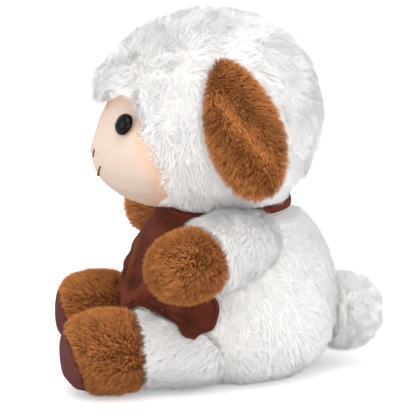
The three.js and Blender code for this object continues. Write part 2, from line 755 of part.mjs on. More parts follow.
function strapSurface(u, v) {
  const degrees = THREE.MathUtils.lerp(STRAP_START_ANGLE, 360 - STRAP_START_ANGLE, u);
  const fromEnd = Math.min(degrees, 360 - degrees) - STRAP_START_ANGLE;
  const angle = THREE.MathUtils.degToRad(degrees);
  const shoulder = bodyPoint(angle, SHOULDER_TOP_Z, 0);
  const collarX = (COLLAR_RADIUS * BODY_HALF_WIDTH / BODY_HALF_DEPTH + SEAM_GAP) * Math.sin(angle);
  const collarY = BODY_CENTRE_Y - (COLLAR_RADIUS + SEAM_GAP) * Math.cos(angle);
  const onCollar = easeStep([0, STRAP_SLIDE_ANGLE], fromEnd);
  return new THREE.Vector3(
    THREE.MathUtils.lerp(shoulder.x, collarX, onCollar),
    THREE.MathUtils.lerp(shoulder.y, collarY, onCollar),
    SHOULDER_TOP_Z + COLLAR_FOOT + SEAM_GAP + STRAP_WIDTH * (1 - v));
}

function buildBib() {
  addPiece('bib_panel', geometryOf(cloth(bibSurface, BIB_FACETS, () => SUEDE)), 'suede');
  addPiece('neck_strap', geometryOf(cloth(strapSurface, STRAP_FACETS, () => SUEDE)), 'suede');
}

buildBody();
buildHead();
buildEars();
buildArms();
buildLegs();
buildTail();
buildBib();

export default lamb;
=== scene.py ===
"""Looks of the seated plush lamb: stuffed forms taken from the frame, grown over with fur in mesh."""

from math import cos, pi, radians, sin, tau

import bmesh
import bpy
import numpy as np
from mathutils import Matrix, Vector
from mathutils.bvhtree import BVHTree
from mathutils.kdtree import KDTree
from numpy.linalg import norm, svd


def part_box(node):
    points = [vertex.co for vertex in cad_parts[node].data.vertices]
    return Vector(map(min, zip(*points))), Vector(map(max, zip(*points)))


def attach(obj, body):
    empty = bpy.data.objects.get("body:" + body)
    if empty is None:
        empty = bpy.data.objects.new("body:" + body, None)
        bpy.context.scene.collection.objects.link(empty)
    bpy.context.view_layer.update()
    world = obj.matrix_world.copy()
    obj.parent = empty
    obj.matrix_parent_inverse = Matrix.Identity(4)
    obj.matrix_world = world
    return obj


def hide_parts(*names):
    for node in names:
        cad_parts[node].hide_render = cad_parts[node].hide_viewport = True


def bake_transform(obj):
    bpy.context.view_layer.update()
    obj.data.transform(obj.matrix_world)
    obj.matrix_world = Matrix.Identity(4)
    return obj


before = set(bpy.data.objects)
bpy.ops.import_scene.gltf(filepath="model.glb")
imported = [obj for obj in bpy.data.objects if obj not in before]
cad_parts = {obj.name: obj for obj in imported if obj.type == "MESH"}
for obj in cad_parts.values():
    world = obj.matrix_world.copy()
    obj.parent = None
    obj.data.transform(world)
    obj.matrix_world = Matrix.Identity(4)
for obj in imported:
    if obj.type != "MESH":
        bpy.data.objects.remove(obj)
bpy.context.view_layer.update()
scene = bpy.context.scene

MM = 0.001
UP = np.array([0, 0, 1])
DOWN = -UP
FRONT = np.array([0, -1, 0])
SIDES = (("left", 1), ("right", -1))
SEED = 20
WAVES = 5
WAVE_SIZES = (0.7, 1.6)
WAVE_SUM = 2.2

# Camera, read from the photograph
CAMERA_AZIMUTH = 84
CAMERA_ELEVATION = 13
CAMERA_DISTANCE = 1600 * MM
LENS = 176
AIM = Vector((0, -20 * MM, 125 * MM))
AIM_RIGHT = -16.5 * MM
AIM_UP = 4 * MM

# Studio: lamps as (name, place in m, power in W), and levels for light and for what the camera sees
LAMPS = (
    ("key", (0.8, -0.2, 2.0), 16),
    ("fill", (1.9, 0.3, 0.5), 13),
    ("back", (0.6, 1.8, 0.9), 9),
    ("far_side", (-1.8, -0.5, 0.8), 11),
    ("front", (0.7, -1.8, 0.9), 9),
)
LAMP_SIZE = 1.4
WORLD_LEVELS = (0.97, 1.0)
FLOOR_SIZE = 40
FLOOR_GREY = (0.8, 0.8, 0.8, 1)
FLOOR_LEVELS = (0, 0.3)

# Stuffed forms
EVEN = dict(mode="VOXEL", voxel_size=2.4 * MM)
SMOOTH = dict(factor=0.5, iterations=10)
PAW_FLATTEN = 0.93
TAIL_ROOT = 8 * MM
SOLE_CLEFT = 2.5 * MM
SOLE_CLEFT_WIDTH = 4 * MM
SOLE_CLEFT_RISE = (0.35, 0.7)
# How far the cleft is painted towards the sole's darker colour: painted shade in the cleft
SOLE_CLEFT_SHADE = 0.8

# Fur: how much strands, tufts and locks differ
STRANDS_A_PIECE = 22000
STRAND_POINTS = 7
SHORTEST_STRAND = 2 * MM
FUR_REACH = 15 * MM
LENGTHS = (0.7, 1.15)
LOCK_LENGTHS = (0.92, 1.1)
WIDTHS = (0.7, 1.2)
PULLS = (0.5, 1.0)
LOCK_PULL = 0.25
LOCK_STRAY = 0.45
STRAND_STRAY = 0.35
LEAN_SPREAD = 9
SPIN_SPREAD = 0.4
MIDDLE_PULL = 0.35
MIDDLE_WIDTH = 0.75
# A strand's middle tone, between its root's painted shade and its tip colour
MIDDLE_TONE = 0.65
# Tone of a form under its pile, as a share from root to tip: painted shade in the gaps between strands
BASE_SHADE = 0.3
TUFT_SHADE = 0.65

# Piles, with lean in degrees at a strand's root and tip, and strands to a tuft and to a lock
WOOL = dict(length=13 * MM, width=0.4 * MM, sink=0.5 * MM, inset=6 * MM, lean=(28, 60), stray=0.75,
            swirl=30 * MM, tuft=6, lock=60, clump=0.5, round=0.5)
SOFT_WOOL = dict(length=10 * MM, width=0.36 * MM, sink=0.5 * MM, inset=4 * MM, lean=(32, 62), stray=0.4,
                 swirl=40 * MM, tuft=5, lock=50, clump=0.5, round=0.5)
SLEEVE_WOOL = {**SOFT_WOOL, "inset": 1.5 * MM}
NECK_WOOL = {**SOFT_WOOL, "length": 5 * MM}
POMPOM = {**SOFT_WOOL, "inset": 4.5 * MM, "lean": (8, 28), "stray": 0.8, "swirl": 14 * MM, "lock": 60,
          "clump": 0.45}
# FUR's base is a darker tone for the form under it: painted shade in the gaps between its tufts
FUR = dict(length=7.5 * MM, width=0.32 * MM, sink=0.5 * MM, inset=3.5 * MM, lean=(15, 42), stray=0.4,
           swirl=30 * MM, tuft=7, lock=60, clump=0.72, round=1.3, base=0.1)

# Ways that the fur is combed
BODY_COMB = (0, 0.45, -1)
LEG_COMB = (0, -1, -0.4)
FOOT_COMB = (0, -1, 0.2)
TAIL_COMB = (0, 0.3, -0.3)
HEAD_COMB = (0, 0.3, -1)
CROWN_COMB = (0, 0.7, 0.6)
CHEEK_COMB = (0, -0.9, 0.1)
FRINGE_COMB = (0, -1.6, -0.9)
PAW_PARTING = 0.6
EAR_PARTING = 1.3

# Head: the wool's edge round the face seen from the side, as (height, how far back) in mm
WOOL_EDGE = ((142, -74), (159, -72), (173, -76), (192, -85), (206, -90), (219, -90), (229, -96))
WOOL_UNDERSIDE = -0.9
SCALLOP = 2.5 * MM
SCALLOP_LENGTH = 19 * MM
CROWN_LIFT = 4 * MM
UNDERSIDE_LIFT = 5 * MM
UNDERSIDE_SHORTER = 0.5
FRINGE_LOW_Z = 217 * MM
FRINGE_HIGH_Z = 233 * MM
FRINGE_HALF_WIDTH = 24 * MM
FRINGE_LIFT = 3.5 * MM
FRINGE_REACH = 12 * MM
FRINGE_SPREAD = 38 * MM
FRINGE_RISE = (15 * MM, 45 * MM)
FRINGE_LONGER = 0.95
FRINGE_PUFF = 0.9
CHEEK_RISE = (245 * MM, 190 * MM)
CHEEK_SHORTER = 0.25
CHEEK_PUFF = 0.7

# Face
FACE_TUCK = 5 * MM
MUZZLE = 3 * MM
MUZZLE_Z = 155 * MM
MUZZLE_HALF_HEIGHT = 21 * MM
MUZZLE_HALF_WIDTH = 45 * MM
MUZZLE_REACH = 45 * MM
FOREHEAD_Z = 205 * MM
BLUSH_REACH = 12 * MM
EYE_RADIUS = 8.6 * MM
EYE_TURN = 10
EYE_DOME = 5.5 * MM
EYE_DOME_START = 0.12
EYE_RIM = ((0.92, -0.8 * MM), (1, -0.2 * MM))
EYE_TOP = 0.02 * MM
EYE_RINGS = 14
EYE_AROUND = 48
EYE_ROOM = 10 * MM

# Thread
THREAD_LIFT = 0.3 * MM
THREAD_STEP = 0.3 * MM
THREAD_PITCH = 2.6 * MM
THREAD_AROUND = 8
PLY_OFFSET = 0.38 * MM
PLY_RADIUS = 0.48 * MM
NOSTRIL_PLACES = 6
MOUTH_PLACES = 14
TUBE_END = 0.45
TUBE_GROWTH = 0.3
OFF_AXIS = (0.31, 0.52, 0.79)

# Ears
EAR_INSET = 1 * MM
EAR_CREASE = 4.5 * MM
EAR_CREASE_WIDTH = 7 * MM
EAR_CREASE_SLANT = 22 * MM
EAR_CREASE_RUN = (0.85, 0.4)
# Ear crease: a painted highlight along it and painted shade in strips beside it, as shares
EAR_CREASE_HIGHLIGHT = 0.9
EAR_BESIDE_SHADE = 0.4
EAR_LENGTH = 0.9
EAR_CREASE_SHORTER = 0.35
EAR_CREASE_LEAN = 1.5

# Neck: the suede band, and the furred sleeve inside it
STRAP_BULGE = 0.6 * MM
STRAP_COLUMNS = 90
STRAP_ROWS = 9
STRAP_WINDOW = 12
STRAP_SMOOTHING = 9
STRAP_RISE = 5 * MM
STRAP_EDGE = 0.18
STRAP_EDGE_TONE = 0.7
STRAP_ROOM = (6 * MM, 18 * MM)
STRAP_FUR = 0.35
NECK_WAD_INSET = 1 * MM
NECK_DEPTH = 8 * MM
NECK_RISE = 28 * MM
NECK_RINGS = 10
NECK_SHRINK = 0.95
NECK_BLEND = (-2 * MM, 14 * MM)

# Bib: the body's sizes that it follows, its own sizes, and its angles round the body
BODY_WIDEST_Z = 48 * MM
BODY_RISE = 105 * MM
BODY_DROP = 64 * MM
THIGH_X = 56.5 * MM
THIGH_ANGLES = (41, 47)
BIB_TOP_Z = 127 * MM
BIB_FRONT_Z = 55 * MM
BIB_LAP_Z = 72 * MM
BIB_CORNER_Z = 55 * MM
BIB_TOP_ANGLE = 60
BIB_WIDEST_ANGLE = 82
BIB_HEM_ANGLE = 67
BIB_MIDDLE_ANGLE = 4
BIB_LAP_ANGLE = 34
BIB_CORNER_ANGLE = 61
BIB_CORNER_CURVE = 1.7
BIB_WIDENING = (0.25, 0.65)
BIB_NARROWING = 0.6
BIB_TIP = 2.5 * MM
BIB_TIP_RANGE = (0.86, 1)
BIB_STANDOFF = 2 * MM
BIB_FOLD = 5 * MM
BIB_FOLDS = 3
BIB_FOLD_GROWTH = 1.5
BIB_FOLD_TWIST = 1.2
BIB_COLUMNS = 73
BIB_ROWS = 33
BIB_BLEND = ((20 * MM, -70 * MM, 64 * MM), (35 * MM, -70 * MM, 31 * MM))
COLLAR_ROWS = 5
COLLAR_BEND = 0.2 * MM

# Creases of each half of the bib: (across, down) of both ends, and height, in mm
BIB_CREASES = (
    ((80, 56), (10, 88), 3.8),
    ((72, 66), (94, 102), 3.4),
    ((4, 30), (24, 72), 1.8),
    ((40, 14), (62, 50), 2.0),
    ((50, 48), (40, 92), 2.4),
)
CREASE_WIDTH = 5 * MM
CREASE_FOOT = 0.5
CREASE_FOOT_WIDTH = 2.2 * CREASE_WIDTH
CREASE_ENDS = (0.04, 0.96)
WRINKLE = 0.8 * MM
WRINKLE_SIZES = (24 * MM, 10 * MM)
WRINKLE_SEEDS = (3, 4)
FINE_WRINKLE = 0.4
VALLEY_DEPTH = 0.8 * MM
# How far the fold valleys are painted towards the darker suede: painted shade
VALLEY_SHADE = 0.55

# Hem
HEM = 3.6 * MM
HEM_CORNER = 1.5 * HEM
HEM_RISE = 0.5 * MM
HEM_EDGE = 1 * MM
GROOVE_WIDTH = 0.8 * MM
GROOVE_DEPTH = 0.8
STITCH_LENGTH = 2.4 * MM
STITCH_PITCH = 3.4 * MM
STITCH_RADIUS = 0.3 * MM
STITCH_POINTS = 6
STITCH_AROUND = 6

# Draping of the bib, and the suede's thickness
DRAPE_STEPS = 90
DRAPE_PASSES = 8
DRAPE_SPEED = 0.9
DRAPE_PULL = 0.05 * MM
DRAPE_GAP = 1.6 * MM
DRAPE_REACH = 12 * MM
DRAPE_STRETCH = 0.4
DRAPE_BEND = 0.06
SUEDE_THICKNESS = 1.6 * MM

# Colours, as seen (sRGB)
# Root colours of the fur: darker than the tips, as painted shade deep in the pile
WHITE_ROOT_SHADED = (0.985, 0.975, 0.962)
WHITE_TIP = (1.0, 0.998, 0.995)
BROWN_ROOT_SHADED = (0.34, 0.15, 0.055)
BROWN_TIP = (0.98, 0.65, 0.375)
PEACH = (0.825, 0.748, 0.695)
PEACH_EDGE = (0.9, 0.74, 0.62)
SUEDE = (0.42, 0.205, 0.14)
SOLE = (0.36, 0.21, 0.20)
THREAD = (0.52, 0.28, 0.2)
HEM_THREAD = (0.34, 0.16, 0.11)
EYE_BLACK = (0.02, 0.02, 0.022)
BLACK = (0.0, 0.0, 0.0, 1.0)


# Small helpers


def linear(colour):
    """A colour as seen, as the linear colour with alpha that shaders take."""
    low = [c / 12.92 if c <= 0.04045 else ((c + 0.055) / 1.055) ** 2.4 for c in colour]
    return (*low, 1.0)


def darker(colour, share):
    return tuple(share * c for c in colour)


def unit(vectors):
    return vectors / np.maximum(norm(vectors, axis=-1, keepdims=True), 1e-12)


def bell(value, width):
    """One at zero, falling away on both sides over about the width."""
    return np.exp(-((value / width) ** 2))


def between(first, last, share):
    return first + (last - first) * share


def ramp(low, high, value):
    return np.clip((value - low) / (high - low), 0, 1)


def smoothstep(low, high, value):
    t = ramp(low, high, value)
    return t * t * (3 - 2 * t)


def facing(normals, way, low=0.2, high=0.9):
    """How much a surface faces a way, between a low and a high limit."""
    return smoothstep(low, high, normals @ way)


def waves(points, size, seed):
    """A smooth field of vectors that changes over about the given size."""
    rng = np.random.default_rng(seed)
    field = np.zeros_like(points)
    for _ in range(WAVES):
        turn = rng.normal(size=3)
        turn *= rng.uniform(*WAVE_SIZES) * tau / (size * norm(turn))
        phase = points @ turn + rng.uniform(0, tau)
        field += np.sin(phase)[:, None] * unit(rng.normal(size=3))
    return field / WAVE_SUM


def run_of(line):
    """Lengths along a line of points from its start."""
    return np.concatenate([[0], np.cumsum(norm(np.diff(line, axis=0), axis=1))])


def along_line(steps, run, line):
    """A line's rows at the given lengths along it."""
    return np.stack([np.interp(steps, run, column) for column in line.T], axis=-1)


def vectors_of(items, key):
    found = np.empty(len(items) * 3, np.float32)
    items.foreach_get(key, found)
    return found.reshape(-1, 3).astype(float)


def points_of(mesh):
    return vectors_of(mesh.vertices, "co")


def normals_of(mesh):
    return vectors_of(mesh.vertex_normals, "vector")


def set_points(mesh, points):
    mesh.vertices.foreach_set("co", points.astype(np.float32).ravel())
    mesh.update()


def set_values(mesh, name, values):
    layer = mesh.attributes.new(name, "FLOAT", "POINT")
    layer.data.foreach_set("value", np.asarray(values, np.float32))


def cad_points(*nodes):
    return np.concatenate([points_of(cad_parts[node].data) for node in nodes])


def tree_of(mesh):
    """A search tree over a mesh's faces."""
    return BVHTree.FromPolygons(points_of(mesh).tolist(), [list(face.vertices) for face in mesh.polygons])


def tree_of_points(points):
    tree = KDTree(len(points))
    for i, point in enumerate(points):
        tree.insert(point, i)
    tree.balance()
    return tree


def nearest_of(points, centres):
    """Which of the centres is nearest to each point."""
    tree = tree_of_points(centres)
    return np.array([tree.find(p)[1] for p in points])


def distances_to(tree, points):
    return np.array([tree.find(p)[2] for p in points])


def new_object(name, data):
    obj = bpy.data.objects.new(name, data)
    scene.collection.objects.link(obj)
    return obj


def add_object(mesh, material, slot, body, *replaced):
    """A mesh's object on a body; where body is (parent, child, start, end), it stays in place on no body.
    """
    obj = new_object(mesh.name, mesh)
    mesh.materials.append(material)
    if isinstance(body, str):
        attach(obj, body)
    else:
        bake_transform(obj)
    if replaced:
        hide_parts(*replaced)
    return obj


def applied(mesh, *modifiers):
    """A smooth mesh with modifiers, each given as (type, settings), applied."""
    holder = new_object("holder", mesh)
    for kind, settings in modifiers:
        modifier = holder.modifiers.new(kind, kind)
        for key, value in settings.items():
            setattr(modifier, key, value)
    done = bpy.data.meshes.new_from_object(holder.evaluated_get(bpy.context.evaluated_depsgraph_get()))
    name = mesh.name
    bpy.data.objects.remove(holder)
    bpy.data.meshes.remove(mesh)
    done.name = name
    done.shade_smooth()
    return done


# Materials


class Paint:
    """The nodes of a material or world, with the few kinds that are used."""

    def __init__(self, owner):
        owner.use_nodes = True
        self.owner = owner
        self.nodes = owner.node_tree.nodes
        self.links = owner.node_tree.links

    def feed(self, node, inputs):
        """Sets a node's inputs to values or links them to other nodes' outputs."""
        for name, value in inputs.items():
            if isinstance(value, bpy.types.NodeSocket):
                self.links.new(value, node.inputs[name])
            else:
                node.inputs[name].default_value = value

    def add(self, kind, output, inputs):
        node = self.nodes.new(f"ShaderNode{kind}")
        self.feed(node, inputs)
        return node.outputs[output]

    def attribute(self, name):
        value = self.add("Attribute", "Fac", {})
        value.node.attribute_name = name
        return value

    def mix(self, factor, first, second, blend="MIX"):
        node = self.nodes.new("ShaderNodeMix")
        node.data_type = "RGBA"
        node.blend_type = blend
        self.feed(node, {"Factor": factor, 6: first, 7: second})
        return node.outputs[2]

    def noise(self, scale, detail=3.0):
        place = self.add("TexCoord", "Object", {})
        return self.add("TexNoise", "Fac", {"Vector": place, "Scale": scale, "Detail": detail})

    def ramp(self, value, low, high):
        return self.add("MapRange", "Result", {"Value": value, "From Min": low, "From Max": high})

    def seen(self, unseen, seen):
        """One level for light and another for what the camera sees directly."""
        ray = self.add("LightPath", "Is Camera Ray", {})
        return self.add("MapRange", "Result", {"Value": ray, "To Min": unseen, "To Max": seen})

    def bump(self, height, strength, distance, **over):
        inputs = {"Height": height, "Strength": strength, "Distance": distance, **over}
        return self.add("Bump", "Normal", inputs)

    def finish(self, colour, roughness, specular, inputs):
        usual = {"Base Color": colour, "Roughness": roughness, "Specular IOR Level": specular}
        self.feed(self.nodes["Principled BSDF"], {**usual, **inputs})
        return self.owner


def dimmed(share):
    """A factor that darkens a colour by a share, a little more in its green and blue."""
    return (1 - share, 1 - 1.05 * share, 1 - 1.1 * share, 1.0)


def fur_material(name, root, tip, contrast, patch, sheen):
    """Pile painted darker towards its root, as painted shade deep in the pile, with each tuft a little
    different from the next.
    """
    paint = Paint(bpy.data.materials.new(name))
    along = paint.mix(paint.attribute("along"), linear(root), linear(tip))
    dim = paint.mix(1.0, along, dimmed(contrast), "MULTIPLY")
    varied = paint.mix(paint.attribute("shade"), dim, along)
    patches = paint.ramp(paint.noise(scale=55), low=0.35, high=0.7)
    dimmer = paint.mix(1.0, varied, dimmed(patch), "MULTIPLY")
    inputs = {"Sheen Weight": sheen, "Sheen Tint": linear(tip)}
    return paint.finish(paint.mix(patches, dimmer, varied), roughness=0.85, specular=0.15, inputs=inputs)


def cloth_material(name, colour, edge, grain, sheen, mottle=0.96):
    """Short-pile cloth with a fine nap, its colour drifting towards the edge colour."""
    paint = Paint(bpy.data.materials.new(name))
    drift = paint.ramp(paint.noise(scale=40), low=0.3, high=0.75)
    mottled = paint.mix(drift, linear(colour), linear(darker(colour, mottle)))
    nap = paint.bump(paint.noise(grain, detail=6.0), strength=0.6, distance=1 * MM)
    dents = paint.noise(scale=150, detail=2.0)
    rough = paint.bump(dents, strength=0.35, distance=2 * MM, Normal=nap)
    blush = paint.mix(paint.attribute("edge"), mottled, linear(edge))
    inputs = {"Normal": rough, "Sheen Weight": sheen, "Sheen Tint": linear(colour)}
    return paint.finish(blush, roughness=0.9, specular=0.08, inputs=inputs)


def gloss_material(name, colour):
    """Polished plastic with the faintest moulding waviness."""
    paint = Paint(bpy.data.materials.new(name))
    tone = paint.ramp(paint.noise(scale=300), low=0.3, high=0.7)
    wavy = paint.bump(paint.noise(scale=160), strength=0.02, distance=0.5 * MM)
    black = paint.mix(tone, linear(colour), BLACK)
    return paint.finish(black, roughness=0.06, specular=0.16, inputs={"Normal": wavy})


white = fur_material("white_wool", WHITE_ROOT_SHADED, WHITE_TIP, contrast=0.045, patch=0.01, sheen=0.0)
brown = fur_material("brown_fur", BROWN_ROOT_SHADED, BROWN_TIP, contrast=0.6, patch=0.12, sheen=0.4)
peach = cloth_material("peach_cloth", PEACH, PEACH_EDGE, grain=900, sheen=0.2)
# Its edge colour is painted shade in the bib's fold valleys and along its hem groove; the neck band is
# also darker towards both its edges
suede = cloth_material("dark_suede", SUEDE, darker(SUEDE, 0.58), grain=1400, sheen=0.08, mottle=0.76)
eye_black = gloss_material("eye_plastic", EYE_BLACK)
thread = cloth_material("brown_thread", THREAD, darker(THREAD, 0.8), grain=2500, sheen=0.2)
hem_thread = cloth_material("hem_thread", HEM_THREAD, SUEDE, grain=2500, sheen=0.2)
# Its edge colour is the painted shade in the sole's cleft
sole_suede = cloth_material("sole_suede", SOLE, darker(SOLE, 0.85), grain=1400, sheen=0.3)

wool_coat = dict(material=white, slot="wool")
brown_coat = dict(material=brown, slot="brown_fur")


# Stuffed forms and other solids


def stuffed(name, nodes, inset=0.0):
    """A closed, evenly meshed form round the given CAD nodes, drawn in by the inset."""
    shape = bmesh.new()
    for point in cad_points(*nodes):
        shape.verts.new(point)
    made = bmesh.ops.convex_hull(shape, input=shape.verts)
    loose = {v for v in made["geom_interior"] + made["geom_unused"] if isinstance(v, bmesh.types.BMVert)}
    bmesh.ops.delete(shape, geom=list(loose), context="VERTS")
    mesh = settled(finished(name, shape))
    set_points(mesh, points_of(mesh) - normals_of(mesh) * inset)
    return mesh


def settled(mesh):
    return applied(mesh, ("REMESH", EVEN), ("SMOOTH", SMOOTH))


def ring_at(shape, place, side, other, radius, around):
    turns = [tau * step / around for step in range(around)]
    return [shape.verts.new(place + radius * (side * cos(t) + other * sin(t))) for t in turns]


def tube(shape, path, radius, around):
    """A closed round tube along a path, tapered at its two ends."""
    along = unit(np.gradient(path, axis=0))
    side = unit(np.cross(along, unit(np.array(OFF_AXIS))))
    other = np.cross(along, side)
    steps = np.arange(len(path))
    ends = np.minimum(1, TUBE_END + TUBE_GROWTH * np.minimum(steps, steps[::-1]))
    bridged(shape, [ring_at(shape, *place, radius * share, around)
                    for *place, share in zip(path, side, other, ends)])


def bridged(shape, rings):
    """Faces between rings of points, and over the first and the last one."""
    around = len(rings[0])
    for low, high in zip(rings, rings[1:]):
        for step in range(around):
            after = (step + 1) % around
            shape.faces.new((low[step], low[after], high[after], high[step]))
    shape.faces.new(rings[-1])
    shape.faces.new(rings[0][::-1])


def finished(name, shape):
    """A smooth-shaded mesh made from a bmesh, facing outwards."""
    bmesh.ops.recalc_face_normals(shape, faces=shape.faces)
    mesh = bpy.data.meshes.new(name)
    shape.to_mesh(mesh)
    shape.free()
    mesh.shade_smooth()
    return mesh


def padded_piece(mesh, nodes, body, material, slot):
    add_object(mesh, material, slot, body, *nodes)


# Fur


def scatter(mesh, count, rng):
    """Random points on a mesh, spread evenly over its area, with the surface's normals."""
    mesh.calc_loop_triangles()
    corners = np.empty(len(mesh.loop_triangles) * 3, np.int32)
    mesh.loop_triangles.foreach_get("vertices", corners)
    corners = corners.reshape(-1, 3)
    places = points_of(mesh)
    normals = normals_of(mesh)
    a, b, c = (places[corners[:, i]] for i in range(3))
    area = norm(np.cross(b - a, c - a), axis=1)
    picked = corners[rng.choice(len(corners), count, p=area / area.sum())]
    share = np.sqrt(rng.random(count))
    turn = rng.random(count)
    weights = np.stack([1 - share, share * (1 - turn), share * turn], axis=1)[:, :, None]
    return (places[picked] * weights).sum(1), unit((normals[picked] * weights).sum(1))


def grow(points, normals, flow, length, lean, puff, rng):
    """Three places along each strand, which leans more and more into the flow, less where puffed."""
    first = np.radians(lean[0] * (1 - puff) + rng.normal(0, LEAN_SPREAD, len(points)))[:, None]
    second = np.radians(lean[1] + rng.normal(0, LEAN_SPREAD, len(points)))[:, None]
    half = length[:, None] / 2
    middle = points + half * (normals * np.cos(first) + flow * np.sin(first))
    tip = middle + half * (normals * np.cos(second) + flow * np.sin(second))
    return np.stack([points, middle, tip], axis=1)


def strand_mesh(name, strands, roundness, rng):
    """Three-sided tapered strands along their lines, with a painted highlight where a share from -1 to 1
    is above zero and painted shade where it is below.
    """
    lines, normals, painted_light = strands["lines"], strands["normals"], strands["painted_light"]
    count = len(lines)
    axis = unit(lines[:, 2] - lines[:, 0])
    side = unit(np.cross(axis, normals) + 1e-6)
    other = np.cross(axis, side)
    spin = pi / 2 + rng.uniform(-SPIN_SPREAD, SPIN_SPREAD, count)
    angles = [spin + step * tau / 3 for step in range(3)]
    rows = [side * np.cos(angle)[:, None] + other * np.sin(angle)[:, None] for angle in angles]
    shown = [unit(normals + roundness * row) for row in rows]
    half = strands["width"][:, None] / 2
    root = [lines[:, 0] + half * row for row in rows]
    middle = [lines[:, 1] + MIDDLE_WIDTH * half * row for row in rows]
    places = np.stack([*root, *middle, lines[:, 2]], axis=1).reshape(-1, 3)
    shading = np.stack([*shown, *shown, normals], axis=1).reshape(-1, 3)
    quads = [0, 1, 4, 3, 1, 2, 5, 4, 2, 0, 3, 5]
    tips = [3, 4, 6, 4, 5, 6, 5, 3, 6]
    loops = (np.array(quads + tips) + STRAND_POINTS * np.arange(count)[:, None]).ravel()
    sizes = np.tile([4, 4, 4, 3, 3, 3], count)
    starts = np.concatenate([[0], np.cumsum(sizes)[:-1]])
    mesh = bpy.data.meshes.new(name)
    mesh.vertices.add(len(places))
    mesh.loops.add(len(loops))
    mesh.polygons.add(len(sizes))
    mesh.vertices.foreach_set("co", places.astype(np.float32).ravel())
    mesh.loops.foreach_set("vertex_index", loops.astype(np.int32))
    mesh.polygons.foreach_set("loop_start", starts.astype(np.int32))
    mesh.polygons.foreach_set("use_smooth", np.ones(len(sizes), bool))
    mesh.update()
    custom = mesh.attributes.new("custom_normal", "FLOAT_VECTOR", "POINT")
    custom.data.foreach_set("vector", shading.astype(np.float32).ravel())
    # Each strand's tone from root to tip: painted shade at the root, its own colour at the tip
    along = np.repeat([0, MIDDLE_TONE, 1], (3, 3, 1)) * np.minimum(1 + painted_light, 1)[:, None]
    set_values(mesh, "along", np.maximum(along, painted_light[:, None]).ravel())
    set_values(mesh, "shade", np.repeat(np.maximum(strands["shade"], painted_light), STRAND_POINTS))
    return mesh


def room_below(trees, points, normals):
    """The way from each point out to the nearest sheet over it, as far as fur could reach."""
    room = np.full(len(points), FUR_REACH)
    for tree in trees:
        for i, (point, normal) in enumerate(zip(points, normals)):
            away = tree.ray_cast(Vector(point), Vector(normal), FUR_REACH)[3]
            if away is not None:
                room[i] = min(room[i], away)
    return room


def add_fur(name, base, body, pile, flow, material, slot, count, keep=None, avoid=(), under=()):
    """Strands over a base mesh, drawn together into tufts and locks."""
    rng = np.random.default_rng([SEED, *name.encode()])
    points, normals = scatter(base, count, rng)
    if keep is not None:
        kept = keep(points, normals)
        points, normals = points[kept], normals[kept]
    count = len(points)

    def own(key, usual):
        """A share at each point that the pile may have its own rule for."""
        return pile[key](points, normals) if key in pile else np.full(count, usual)

    locks = rng.choice(count, max(1, int(count / pile["lock"])), replace=False)
    lock = nearest_of(points, points[locks])
    stray = waves(points, pile["swirl"], len(name)) + LOCK_STRAY * rng.normal(size=(len(locks), 3))[lock]
    drift = flow(points, normals) + pile["stray"] * (stray + STRAND_STRAY * rng.normal(size=points.shape))
    drift = unit(drift - normals * np.sum(drift * normals, axis=1, keepdims=True))
    length = pile["length"] * rng.uniform(*LENGTHS, count) * rng.uniform(*LOCK_LENGTHS, len(locks))[lock]
    length *= own("longer", 1.0)
    length *= np.clip(room_below(under, points, normals) / pile["length"], 0, 1)
    puff = own("puff", 0.0)
    lines = grow(points - normals * pile["sink"], normals, drift, length, pile["lean"], puff, rng)
    heads = rng.choice(count, max(1, int(count / pile["tuft"])), replace=False)
    pull = pile["clump"] * rng.uniform(*PULLS, count)[:, None]
    tuft = nearest_of(points, points[heads])
    for joined, share in ((heads[tuft], 1.0), (locks[lock], LOCK_PULL)):
        for step, hold in ((1, MIDDLE_PULL), (2, 1.0)):
            lines[:, step] = between(lines[:, step], lines[joined, step], pull * hold * share)
    lines[:, :, 2] = np.maximum(lines[:, :, 2], pile["width"] / 2)
    shown = length > SHORTEST_STRAND
    for centre, room in avoid:
        shown &= norm(lines - centre, axis=2).min(1) > room
    strands = {
        "lines": lines,
        "normals": normals,
        "width": pile["width"] * rng.uniform(*WIDTHS, count),
        "painted_light": own("painted_light", 0.0),
        "shade": TUFT_SHADE * rng.random(len(heads))[tuft] + (1 - TUFT_SHADE) * rng.random(count),
    }
    chosen = np.nonzero(shown)[0]
    for part, start in enumerate(range(0, len(chosen), STRANDS_A_PIECE), 1):
        some = chosen[start:start + STRANDS_A_PIECE]
        picked = {key: every[some] for key, every in strands.items()}
        mesh = strand_mesh(f"{name}_{part}", picked, pile["round"], rng)
        add_object(mesh, material, slot, body)


def tint(mesh, pile):
    """Gives a form the tone that shows between the strands of its pile: painted shade, darker than the
    strands' tips.
    """
    base = pile.get("base", BASE_SHADE)
    set_values(mesh, "along", np.full(len(mesh.vertices), base))
    set_values(mesh, "shade", np.full(len(mesh.vertices), 2 * base))


def covered(mesh, nodes, body, pile, flow, material, slot, **fur):
    """A form with its fur, in place of the given CAD nodes."""
    tint(mesh, pile)
    padded_piece(mesh, nodes, body, material, slot)
    add_fur(f"{mesh.name}_fur", mesh, body, pile, flow, material, slot, **fur)


def furry(name, nodes, body, pile, flow, flatten=1.0, **fur):
    """A stuffed piece with its fur, in place of CAD nodes, with the cover first."""
    mesh = stuffed(name, nodes[:1], pile["inset"])
    places = points_of(mesh)
    places[:, 2] = between(places[:, 2].mean(), places[:, 2], flatten)
    set_points(mesh, places)
    covered(mesh, nodes, body, pile, flow, **fur)


def towards(direction):
    """A flow along one direction."""
    way = unit(np.array(direction, float))
    return lambda points, normals: way


# Trunk, neck, limbs and tail


